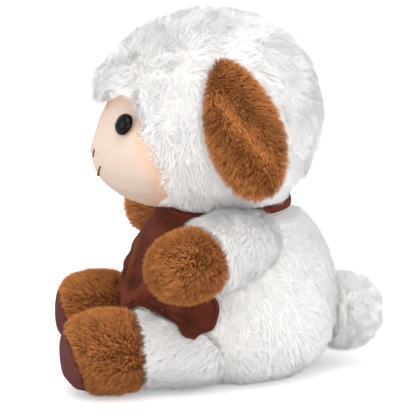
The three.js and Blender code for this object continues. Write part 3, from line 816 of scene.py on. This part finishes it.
def build_body(suede_trees, strap_line):
    line_tree = tree_of_points(strap_line)

    def longer(points, normals):
        return between(STRAP_FUR, 1, smoothstep(*STRAP_ROOM, distances_to(line_tree, points)))

    pile = {**SOFT_WOOL, "longer": longer}
    furry("body", ["body_shell", "body_stuffing", "pellet_pouch"], "trunk", pile,
          towards(BODY_COMB), count=72000, under=suede_trees, **wool_coat)
    wad = stuffed("neck_wad", ["neck_stuffing"], NECK_WAD_INSET)
    tint(wad, SOFT_WOOL)
    padded_piece(wad, ["neck_stuffing"], "neck", **wool_coat)


def build_neck(strap_line):
    """A furred sleeve inside the neck band, rising into the head, left in place on no body."""
    middle = strap_line.mean(0)
    shape = bmesh.new()
    rings = []
    for rise in np.linspace(-NECK_DEPTH, NECK_RISE, NECK_RINGS):
        ring = between(middle, strap_line[:-1], NECK_SHRINK)
        ring[:, 2] = strap_line[:-1, 2] + rise
        rings.append([shape.verts.new(place) for place in ring])
    bridged(shape, rings)
    mesh = settled(finished("neck_sleeve", shape))
    joint = ("neck", "head", *((0, middle[1], middle[2] + rise) for rise in NECK_BLEND))
    covered(mesh, [], joint, NECK_WOOL, towards(DOWN), count=9000, **wool_coat)


def build_arm(side, suede_trees):
    arm, sleeve, paw = (f"{side}_{part}" for part in ("arm", "sleeve", "paw"))
    hand = cad_points(paw).mean(0)
    way = unit(hand - cad_points(sleeve).mean(0))

    def flow(points, normals):
        return unit(points - hand) * PAW_PARTING + way

    furry(f"{arm}_cover", [sleeve, f"{arm}_stuffing"], arm, SLEEVE_WOOL, towards(way + DOWN),
          count=24000, under=suede_trees, **wool_coat)
    furry(f"{side}_hand", [paw], arm, FUR, flow, flatten=PAW_FLATTEN, count=26000, under=suede_trees,
          **brown_coat)


def build_leg(side, suede_trees):
    leg = f"{side}_leg"
    furry(f"{side}_thigh", [leg, f"{leg}_stuffing"], leg, SOFT_WOOL, towards(LEG_COMB), count=24000,
          under=suede_trees, **wool_coat)
    furry(f"{side}_shoe", [f"{side}_foot"], leg, FUR, towards(FOOT_COMB), count=28000, **brown_coat)


def build_sole(side):
    """A suede pad with a short cleft from its upper edge, like a hoof's, with painted shade in the cleft.
    """
    mesh = stuffed(f"{side}_sole_pad", [f"{side}_sole"])
    places = points_of(mesh)
    normals = normals_of(mesh)
    low, high = places.min(0), places.max(0)
    middle = (low[0] + high[0]) / 2
    rise = smoothstep(*SOLE_CLEFT_RISE, (places[:, 2] - low[2]) / (high[2] - low[2]))
    cleft = bell(places[:, 0] - middle, SOLE_CLEFT_WIDTH) * rise
    front = facing(normals, FRONT, high=0.7)
    set_points(mesh, places - normals * (SOLE_CLEFT * cleft * front)[:, None])
    set_values(mesh, "edge", SOLE_CLEFT_SHADE * cleft * front)
    padded_piece(mesh, [f"{side}_sole"], f"{side}_leg", sole_suede, "suede")


def build_tail():
    mesh = stuffed("tail_ball", ["tail_pompom"], POMPOM["inset"])
    places = points_of(mesh)
    places[:, 1] -= TAIL_ROOT * facing(normals_of(mesh), FRONT)
    set_points(mesh, places)
    centre = places.mean(0)

    def flow(points, normals):
        return unit(points - centre) + TAIL_COMB

    covered(mesh, ["tail_pompom", "tail_stuffing"], "tail", POMPOM, flow, count=22000, **wool_coat)


# Head


def in_opening(points):
    """Whether points of the head's form lie in the face opening, in front of the wool's edge."""
    x, y, z = points.T
    heights, backs = np.array(WOOL_EDGE).T * MM
    top = between(FRINGE_LOW_Z, FRINGE_HIGH_Z, smoothstep(0, FRINGE_HALF_WIDTH, np.abs(x)))
    scallop = SCALLOP * np.sin(tau * z / SCALLOP_LENGTH + np.sign(x))
    return (y < np.interp(z, heights, backs) + scallop) & (z < top)


def face_form():
    """The face with its muzzle drawn out and its forehead set back."""
    face = stuffed("face", ["face_panel"])
    places = points_of(face)
    x, y, z = places.T
    muzzle = bell(z - MUZZLE_Z, MUZZLE_HALF_HEIGHT) - bell(z - FOREHEAD_Z, MUZZLE_HALF_HEIGHT)
    front = smoothstep(y.min() + MUZZLE_REACH, y.min(), y) * bell(x, MUZZLE_HALF_WIDTH)
    places[:, 1] -= MUZZLE * muzzle * front
    set_points(face, places)
    return face


def head_form(face_tree):
    """The head under its wool, and trees of its points outside and inside the face opening."""
    head = stuffed("head", ["head_hood"], WOOL["inset"])
    normals = normals_of(head)
    places = points_of(head)
    lift = CROWN_LIFT * facing(normals, UP, 0.3, 1) - UNDERSIDE_LIFT * facing(normals, DOWN, 0.1, 0.8)
    brow = facing(normals, FRONT, 0.45, 0.85) * smoothstep(FRINGE_LOW_Z, FRINGE_HIGH_Z, places[:, 2])
    lift += FRINGE_LIFT * brow
    places += normals * lift[:, None]
    opening = in_opening(places)
    wool_tree = tree_of_points(places[~opening])
    open_tree = tree_of_points(places[opening])
    for i in np.nonzero(opening)[0]:
        spot, normal = face_tree.find_nearest(Vector(places[i]))[:2]
        places[i] = spot - normal * FACE_TUCK
    set_points(head, places)
    return head, wool_tree, open_tree


def head_wool(open_tree):
    """The head's pile and its flow, with a fringe and puffed cheeks."""
    middle_z = cad_points("face_panel").mean(0)[2]

    def near_opening(points):
        return bell(distances_to(open_tree, points), FRINGE_REACH)

    def fringe(points):
        """How much a point belongs to the forehead's fringe."""
        above = smoothstep(*FRINGE_RISE, points[:, 2] - middle_z)
        return near_opening(points) * above * bell(points[:, 0], FRINGE_SPREAD)

    def cheek(points):
        """How much a point belongs to the wool beside the lower face."""
        return near_opening(points) * smoothstep(*CHEEK_RISE, points[:, 2])

    def flow(points, normals):
        share = fringe(points)[:, None]
        combed = HEAD_COMB + facing(normals, UP)[:, None] * CROWN_COMB
        combed = combed + cheek(points)[:, None] * CHEEK_COMB
        return between(combed, FRINGE_COMB, share)

    def longer(points, normals):
        share = fringe(points)
        beside = near_opening(points) * (1 - share)
        under = 1 - UNDERSIDE_SHORTER * facing(normals, DOWN)
        return (1 + FRINGE_LONGER * share - CHEEK_SHORTER * beside) * under

    def puff(points, normals):
        return FRINGE_PUFF * fringe(points) + CHEEK_PUFF * cheek(points)

    return {**WOOL, "longer": longer, "puff": puff}, flow


def outside_face(points, normals):
    return ~in_opening(points) & (normals[:, 2] > WOOL_UNDERSIDE)


def build_head():
    face = face_form()
    face_tree = tree_of(face)
    head, wool_tree, open_tree = head_form(face_tree)
    pile, flow = head_wool(open_tree)
    eyes = {side: cad_points(f"{side}_eye").mean(0) for side, _ in SIDES}
    covered(head, ["head_hood", "head_stuffing"], "head", pile, flow, count=80000,
            keep=outside_face, avoid=[(eye, EYE_ROOM) for eye in eyes.values()], **wool_coat)
    set_values(face, "edge", bell(distances_to(wool_tree, points_of(face)), BLUSH_REACH))
    padded_piece(face, ["face_panel"], "head", peach, "face_cloth")
    for side, eye in eyes.items():
        build_eye(side, eye)
        sewn_line(f"{side}_nostril_stitch", 2, NOSTRIL_PLACES, face_tree)
    sewn_line("mouth_stitch", 0, MOUTH_PLACES, face_tree)


def sewn_line(node, axis, places, face_tree):
    """A twisted thread on the face along a CAD stitch, followed along one axis."""
    points = cad_points(node)
    across = points[:, axis]
    edges = np.linspace(across.min(), across.max() + 1e-9, places + 1)
    line = []
    for low, high in zip(edges, edges[1:]):
        some = points[(across >= low) & (across < high)]
        if len(some):
            spot, normal = face_tree.find_nearest(Vector(some.mean(0)))[:2]
            line.append(spot + normal * THREAD_LIFT)
    mesh = twisted(f"{node}_thread", np.array(line))
    add_object(mesh, thread, "thread", "head", node)


def twisted(name, line):
    """Two plies of thread twisted round a line."""
    run = run_of(line)
    steps = np.linspace(0, run[-1], max(8, int(run[-1] / THREAD_STEP)))
    path = along_line(steps, run, line)
    along = unit(np.gradient(path, axis=0))
    side = unit(np.cross(along, FRONT))
    other = np.cross(along, side)
    shape = bmesh.new()
    for phase in (0, pi):
        turn = (tau * steps / THREAD_PITCH + phase)[:, None]
        ply = path + PLY_OFFSET * (side * np.cos(turn) + other * np.sin(turn))
        tube(shape, ply, PLY_RADIUS, THREAD_AROUND)
    return finished(name, shape)


def build_eye(side, centre):
    """A polished dome with a rolled rim, turned forward from the CAD eye's axis."""
    axis = unit(centre - cad_points(f"{side}_eye_washer").mean(0))
    turn = radians(EYE_TURN) * np.sign(axis[0])
    ahead = np.array([-axis[1], axis[0], 0])
    axis = unit(axis * cos(turn) - ahead * sin(turn))
    along = (cad_points(f"{side}_eye") - centre) @ axis
    base = centre + axis * (along.max() - EYE_DOME)
    across = unit(np.cross(axis, UP))
    other = np.cross(axis, across)
    profile = [(share * EYE_RADIUS, height) for share, height in EYE_RIM]
    for t in np.linspace(EYE_DOME_START, pi / 2, EYE_RINGS):
        profile.append((max(EYE_RADIUS * cos(t), EYE_TOP), EYE_DOME * sin(t)))
    shape = bmesh.new()
    bridged(shape, [ring_at(shape, base + axis * height, across, other, radius, EYE_AROUND)
                    for radius, height in profile])
    mesh = finished(f"{side}_eye_dome", shape)
    add_object(mesh, eye_black, "eye", "head", f"{side}_eye", f"{side}_eye_washer")


def build_ear(side, sign):
    """An ear of two sewn layers, with a long slanting crease that the fur parts along."""
    nodes = [f"{side}_ear_back", f"{side}_ear_lining"]
    mesh = stuffed(f"{side}_ear_pad", nodes, EAR_INSET)
    places = points_of(mesh)
    normals = normals_of(mesh)
    centre = places.mean(0)
    spread = svd(places[:, 1:] - centre[1:], full_matrices=False)[2]
    along = np.array([0, *(spread[0] * -np.sign(spread[0, 1]))])
    across = np.cross(along, (1, 0, 0))
    half_length = np.abs((places - centre) @ along).max()

    def run(points):
        """How far points lie along the ear, as a share of its half length."""
        return (points - centre) @ along / half_length

    def off_crease(points):
        """How far points lie across from the crease."""
        return (points - centre) @ across + EAR_CREASE_SLANT * run(points)

    def crease(points, normals):
        """How near a point of the ear's outer side is to the crease."""
        outside = facing(normals, (sign, 0, 0), 0.1, 0.6)
        near = bell(off_crease(points), EAR_CREASE_WIDTH)
        return outside * near * smoothstep(*EAR_CREASE_RUN, np.abs(run(points)))

    def flow(points, normals):
        return along + EAR_PARTING * across * np.tanh(off_crease(points)[:, None] / EAR_CREASE_WIDTH)

    # Painted highlight along the crease and painted shade in strips beside it, as a share from -1 to 1
    def painted_light(points, normals):
        beside = bell(np.abs(off_crease(points)) - 2 * EAR_CREASE_WIDTH, EAR_CREASE_WIDTH)
        return EAR_CREASE_HIGHLIGHT * crease(points, normals) - EAR_BESIDE_SHADE * beside

    def longer(points, normals):
        return EAR_LENGTH - EAR_CREASE_SHORTER * crease(points, normals)

    def puff(points, normals):
        return -EAR_CREASE_LEAN * crease(points, normals)

    set_points(mesh, places - normals * EAR_CREASE * crease(places, normals)[:, None])
    pile = {**FUR, "painted_light": painted_light, "longer": longer, "puff": puff}
    covered(mesh, nodes, f"{side}_ear", pile, flow, count=28000, **brown_coat)


# Bib


def bib_start():
    """The bib before it settles: rows of points from the neck to the hem, columns right to left."""
    low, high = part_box("body_shell")
    centre_y = (low.y + high.y) / 2
    half_width = (high.x - low.x) / 2
    half_depth = (high.y - low.y) / 2
    across, down = np.meshgrid(np.linspace(-1, 1, BIB_COLUMNS), np.linspace(0, 1, BIB_ROWS))
    spread = between(BIB_TOP_ANGLE, BIB_WIDEST_ANGLE, smoothstep(*BIB_WIDENING, down))
    spread += (BIB_HEM_ANGLE - BIB_WIDEST_ANGLE) * ramp(BIB_NARROWING, 1, down)
    turn = across * spread
    off_middle = np.abs(turn)
    hem = between(BIB_FRONT_Z, BIB_LAP_Z, smoothstep(BIB_MIDDLE_ANGLE, BIB_LAP_ANGLE, off_middle))
    corner = ramp(BIB_LAP_ANGLE, BIB_CORNER_ANGLE, off_middle)
    hem = between(hem, BIB_CORNER_Z, corner**BIB_CORNER_CURVE)
    hem = hem - BIB_TIP * smoothstep(*BIB_TIP_RANGE, np.abs(across))
    z = between(BIB_TOP_Z, hem, down)
    reach = np.where(z > BODY_WIDEST_Z, BODY_RISE, BODY_DROP)
    swell = np.sqrt(1 - ((z - BODY_WIDEST_Z) / reach) ** 2)
    angle = np.radians(turn)
    fold = 0.5 + 0.5 * np.cos(BIB_FOLDS * 2 * angle + BIB_FOLD_TWIST * down)
    out = BIB_STANDOFF + BIB_FOLD * down**BIB_FOLD_GROWTH * fold
    x = (half_width * swell + out) * np.sin(angle)
    y = centre_y - (half_depth * swell + out) * np.cos(angle)
    leg_low, leg_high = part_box("left_leg")
    leg_z = (leg_low.z + leg_high.z) / 2
    leg_radius = (leg_high.z - leg_low.z) / 2
    rise = np.clip((z - leg_z) / leg_radius, -1, 1)
    outside = THIGH_X + (leg_radius + BIB_STANDOFF) * np.sqrt(1 - rise**2)
    beside = smoothstep(*THIGH_ANGLES, off_middle) * (z < leg_high.z) * (outside > np.abs(x))
    x += (np.sign(x) * outside - x) * beside
    return np.stack([x, y, z], axis=2)


def lengths_of(grid, axis):
    """Distances between neighbours along an axis of a grid."""
    return norm(np.diff(grid, axis=axis), axis=2)


def run_along(grid, axis):
    """Lengths along an axis of a grid from its start."""
    steps = lengths_of(grid, axis)
    start = np.zeros_like(np.take(steps, [0], axis))
    return np.concatenate([start, np.cumsum(steps, axis)], axis)


def keep_lengths(grid, wanted, axis, step, share):
    """Moves points that lie a step apart along an axis towards their distance in the cloth."""
    places = np.moveaxis(grid, axis, 0)
    gap = places[step:] - places[:-step]
    length = norm(gap, axis=2, keepdims=True)
    fix = share * gap * (1 - np.moveaxis(wanted, axis, 0)[..., None] / length)
    places[:-step] += fix
    places[step:] -= fix


def draped(start, trees):
    """The grid settled as cloth, held along its first row and kept out of the trees' forms."""
    rules = []
    for axis in (0, 1):
        near = lengths_of(start, axis)
        places = np.moveaxis(near, axis, 0)
        rules.append((near, axis, 1, DRAPE_STRETCH))
        rules.append((np.moveaxis(places[1:] + places[:-1], 0, axis), axis, 2, DRAPE_BEND))
    grid = start.copy()
    before = start.copy()
    for turn in range(DRAPE_STEPS):
        moved = grid + DRAPE_SPEED * (grid - before)
        moved[..., 2] -= DRAPE_PULL
        before = grid
        grid = moved
        for _ in range(DRAPE_PASSES):
            for rule in rules:
                keep_lengths(grid, *rule)
            grid[0] = start[0]
        if turn % 2:
            push_out(grid, before, trees)
    return grid


def push_out(grid, before, trees):
    """Moves points of a grid out of the trees' forms and stops them there."""
    points = grid.reshape(-1, 3)
    rest = before.reshape(-1, 3)
    for i, point in enumerate(points):
        for tree in trees:
            spot, normal = tree.find_nearest(Vector(point), DRAPE_REACH)[:2]
            if spot is None:
                continue
            depth = DRAPE_GAP - (Vector(point) - spot).dot(normal)
            if depth > 0:
                point += np.array(normal) * depth
                rest[i] = point


def finer(grid):
    """The grid with a smooth row added between each two."""
    padded = np.concatenate([2 * grid[:1] - grid[1:2], grid, 2 * grid[-1:] - grid[-2:-1]])
    rows = np.empty((2 * len(grid) - 1, *grid.shape[1:]))
    rows[::2] = grid
    rows[1::2] = (9 * (padded[1:-2] + padded[2:-1]) - padded[:-3] - padded[3:]) / 16
    return rows


def outward(grid):
    """Normals of a bib half's grid, on the side away from the body."""
    normals = unit(np.cross(np.gradient(grid, axis=1), -np.gradient(grid, axis=0)))
    return normals * np.sign(np.sum(normals * (grid - AIM), axis=2, keepdims=True).mean())


def sheet_mesh(name, grid, flip, edge):
    """A sheet of suede over a grid of points, with the values that its edge colour goes by."""
    rows, columns, _ = grid.shape
    index = np.arange(rows * columns).reshape(rows, columns)
    corners = [index[:-1, :-1], index[:-1, 1:], index[1:, 1:], index[1:, :-1]]
    faces = np.stack(corners, axis=2).reshape(-1, 4)
    faces = faces[:, ::-1] if flip else faces
    mesh = bpy.data.meshes.new(name)
    mesh.from_pydata(grid.reshape(-1, 3).tolist(), [], faces.tolist())
    mesh.update()
    set_values(mesh, "edge", edge.ravel())
    return applied(mesh, ("SOLIDIFY", dict(thickness=SUEDE_THICKNESS, offset=1)))


def sheet_area(grid):
    across = np.cross(grid[1:, 1:] - grid[:-1, :-1], grid[1:, :-1] - grid[:-1, 1:])
    return float(norm(across, axis=2).sum() / 2)


def hemmed(grid):
    """The grid with creases, wrinkles and a hem, and its edge values: painted shade along the hem's
    groove and in the fold valleys.
    """
    down = run_along(grid, 0)
    across = run_along(grid, 1)
    to_edge = np.minimum(down[-1:] - down, across[:, -1:] - across)
    groove = bell(to_edge - HEM, GROOVE_WIDTH)
    rise = HEM_RISE * (smoothstep(HEM, HEM - HEM_EDGE, to_edge) - GROOVE_DEPTH * groove)
    points = grid.reshape(-1, 3)
    large, fine = (waves(points, size, seed) for size, seed in zip(WRINKLE_SIZES, WRINKLE_SEEDS))
    wrinkle = large[:, 0] + FINE_WRINKLE * fine[:, 1]
    folds = WRINKLE * wrinkle.reshape(rise.shape) + creases(across, down)
    # Painted shade in the valleys between the folds, and along the hem's groove
    valley = smoothstep(VALLEY_DEPTH, -VALLEY_DEPTH, folds)
    return grid + outward(grid) * (rise + folds)[..., None], np.maximum(groove, VALLEY_SHADE * valley)


def creases(across, down):
    """How far the bib stands out at lengths across from its middle and down from the neck."""
    out = np.zeros_like(across)
    for first, last, height in BIB_CREASES:
        start = np.array(first) * MM
        way = np.array(last) * MM - start
        share = ((across - start[0]) * way[0] + (down - start[1]) * way[1]) / (way @ way)
        share = np.clip(share, 0, 1)
        away = np.hypot(across - start[0] - share * way[0], down - start[1] - share * way[1])
        crest = bell(away, CREASE_WIDTH) - CREASE_FOOT * bell(away, CREASE_FOOT_WIDTH)
        out += height * MM * crest * np.sin(pi * np.clip(share, *CREASE_ENDS))
    return out


def hem_line(grid):
    """Places and normals along the hem, a hem's width from the last row and the last column."""
    rows = np.concatenate([grid, outward(grid)], axis=2)
    line = []
    for stretch in (*rows.swapaxes(0, 1), *rows[::-1]):
        run = run_of(stretch[:, :3])
        spot = along_line(run[-1] - HEM, run, stretch)
        if norm(spot[:3] - grid[-1, -1]) > HEM_CORNER:
            line.append(spot)
    return np.array(line)


def stitches(name, line):
    """Short stitches along a line of places and normals, with their ends in the cloth."""
    run = run_of(line[:, :3])
    share = np.linspace(0, 1, STITCH_POINTS)
    lift = SUEDE_THICKNESS + STITCH_RADIUS * (0.5 - 2 * np.abs(2 * share - 1) ** 3)
    shape = bmesh.new()
    for begin in np.arange(0, run[-1] - STITCH_LENGTH, STITCH_PITCH):
        spots = along_line(begin + share * STITCH_LENGTH, run, line)
        tube(shape, spots[:, :3] + spots[:, 3:] * lift[:, None], STITCH_RADIUS, STITCH_AROUND)
    return finished(name, shape)


def collar_rows(top, neck_line):
    """Rows of cloth between the neck band and the bib's top row."""
    middle = neck_line.mean(0)
    radius = norm((neck_line - middle)[:, :2], axis=1).mean()
    ring = middle + radius * unit((top - middle) * np.array([1, 1, 0]))
    share = np.linspace(0, 1, COLLAR_ROWS, endpoint=False)[:, None, None]
    return between(ring, top, share) + COLLAR_BEND * UP * np.sin(pi * share)


def build_bib(neck_line):
    """The bib's two halves, draped over the trunk, legs and arms, and left in place on no body."""
    forms = ["body_shell"] + [f"{side}_{part}" for side, _ in SIDES for part in ("leg", "sleeve", "paw")]
    grid = draped(bib_start(), [tree_of(stuffed("form", [node])) for node in forms])
    grid = np.concatenate([collar_rows(grid[0], neck_line), grid])
    fine = finer(finer(grid).swapaxes(0, 1)).swapaxes(0, 1)
    middle = fine.shape[1] // 2
    width = lengths_of(fine, 1).sum(1).max() / 2
    length = lengths_of(fine, 0).sum(0).max()
    trees = []
    for side, sign in SIDES:
        joint = ("trunk", f"{side}_leg", *((sign * x, y, z) for x, y, z in BIB_BLEND))
        half, edge = hemmed(fine[:, middle:] if sign > 0 else fine[:, middle::-1])
        mesh = sheet_mesh(f"{side}_bib", half, sign > 0, edge)
        sewing = stitches(f"{side}_bib_stitches", hem_line(half))
        trees.append(tree_of(mesh))
        piece = add_object(mesh, suede, "suede", joint, "bib_panel")
        hem = add_object(sewing, hem_thread, "thread", joint)
        sheet_area(half)
    return trees


def build_strap():
    """A suede band round the neck, along the CAD strap at the back and the bib's top edge in front."""
    points = cad_points("neck_strap")
    bottom, top = points[:, 2].min(), points[:, 2].max()
    low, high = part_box("body_shell")
    centre_y = (low.y + high.y) / 2
    angle = np.degrees(np.arctan2(points[:, 0], centre_y - points[:, 1])) % 360
    radius = np.hypot(points[:, 0], points[:, 1] - centre_y)
    steps = np.linspace(0, 360, STRAP_COLUMNS)
    near = np.abs(angle[None] - np.clip(steps, angle.min(), angle.max())[:, None]) < STRAP_WINDOW
    inner = np.pad([radius[some].min() for some in near], STRAP_SMOOTHING // 2, mode="edge")
    inner = np.convolve(inner, np.full(STRAP_SMOOTHING, 1 / STRAP_SMOOTHING), mode="valid")
    share = np.linspace(0, 1, STRAP_ROWS)[:, None]
    turn = np.radians(steps)[None]
    out = inner[None] + STRAP_BULGE * (1 - (2 * share - 1) ** 2)
    z = between(top, bottom, share) + STRAP_RISE * (1 - np.cos(turn)) / 2
    grid = np.stack([out * np.sin(turn), centre_y - out * np.cos(turn), z], axis=2)
    edge = STRAP_EDGE_TONE * bell(0.5 - np.abs(share - 0.5), STRAP_EDGE)
    mesh = sheet_mesh("neck_band", grid, True, np.broadcast_to(edge, z.shape))
    add_object(mesh, suede, "suede", "trunk", "neck_strap")
    return tree_of(mesh), grid[STRAP_ROWS // 2]


# Stage, light and camera


def build_stage():
    bpy.ops.mesh.primitive_plane_add(size=FLOOR_SIZE)
    floor = bpy.context.object
    floor.name = "floor"
    paint = Paint(bpy.data.materials.new("pale_floor"))
    diffuse = paint.add("BsdfDiffuse", "BSDF", {"Color": FLOOR_GREY})
    glow = paint.add("Emission", "Emission", {"Strength": paint.seen(*FLOOR_LEVELS)})
    both = paint.add("AddShader", "Shader", {0: diffuse, 1: glow})
    paint.feed(paint.nodes["Material Output"], {"Surface": both})
    floor.data.materials.append(paint.owner)


def build_light():
    scene.view_settings.view_transform = "Standard"
    scene.world = bpy.data.worlds.new("studio")
    paint = Paint(scene.world)
    inputs = {"Color": (1, 1, 1, 1), "Strength": paint.seen(*WORLD_LEVELS)}
    paint.feed(paint.nodes["Background"], inputs)
    for name, place, power in LAMPS:
        lamp = bpy.data.lights.new(name, "AREA")
        lamp.size = LAMP_SIZE
        lamp.energy = power
        obj = new_object(name, lamp)
        obj.location = place
        obj.rotation_euler = (AIM - Vector(place)).to_track_quat("-Z", "Y").to_euler()


def build_camera():
    azimuth = radians(CAMERA_AZIMUTH)
    elevation = radians(CAMERA_ELEVATION)
    right = Vector((cos(azimuth), sin(azimuth), 0))
    back = Vector((sin(azimuth) * cos(elevation), -cos(azimuth) * cos(elevation), sin(elevation)))
    up = back.cross(right)
    aim = AIM + right * AIM_RIGHT + up * AIM_UP
    camera = new_object("camera", bpy.data.cameras.new("camera"))
    camera.data.lens = LENS
    camera.location = aim + back * CAMERA_DISTANCE
    camera.rotation_euler = (-back).to_track_quat("-Z", "Y").to_euler()
    bpy.context.scene.camera = camera


strap_tree, strap_line = build_strap()
suede_trees = [*build_bib(strap_line), strap_tree]
build_body(suede_trees, strap_line)
build_neck(strap_line)
for side, _ in SIDES:
    build_arm(side, suede_trees)
    build_leg(side, suede_trees)
    build_sole(side)
build_tail()
build_head()
for side, sign in SIDES:
    build_ear(side, sign)
build_stage()
build_light()
build_camera()
